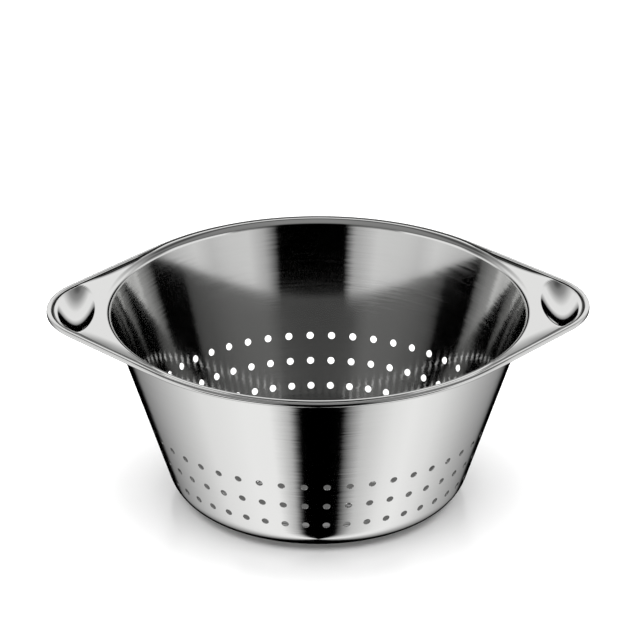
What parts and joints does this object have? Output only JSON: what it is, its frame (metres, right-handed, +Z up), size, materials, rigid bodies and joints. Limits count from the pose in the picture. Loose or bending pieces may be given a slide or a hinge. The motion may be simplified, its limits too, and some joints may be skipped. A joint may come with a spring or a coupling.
{
  "type": "colander",
  "caption": "Stainless steel colander: a conical bowl with rows of drain holes near its flat base, and a rim collar drawn out into two pointed ear handles with thumb dimples.",
  "frame": {"origin": "centre of the face that the bowl stands on, on the bowl's axis", "axes": "+Z up along the bowl's axis, +X towards the tip of one ear handle, the front of the picture at -Y"},
  "size_m": [0.294, 0.24, 0.1097],
  "materials": {
    "bowl_steel": "bright polished stainless steel with a fine grain turned round the axis",
    "collar_steel": "bright polished stainless steel",
    "wire_steel": "drawn steel wire, hidden in the rolled edge"
  },
  "bodies": {
    "root": {"perforated_bowl": "bowl_steel", "handle_collar": "collar_steel", "rim_wire": "wire_steel"}
  },
  "joints": []
}
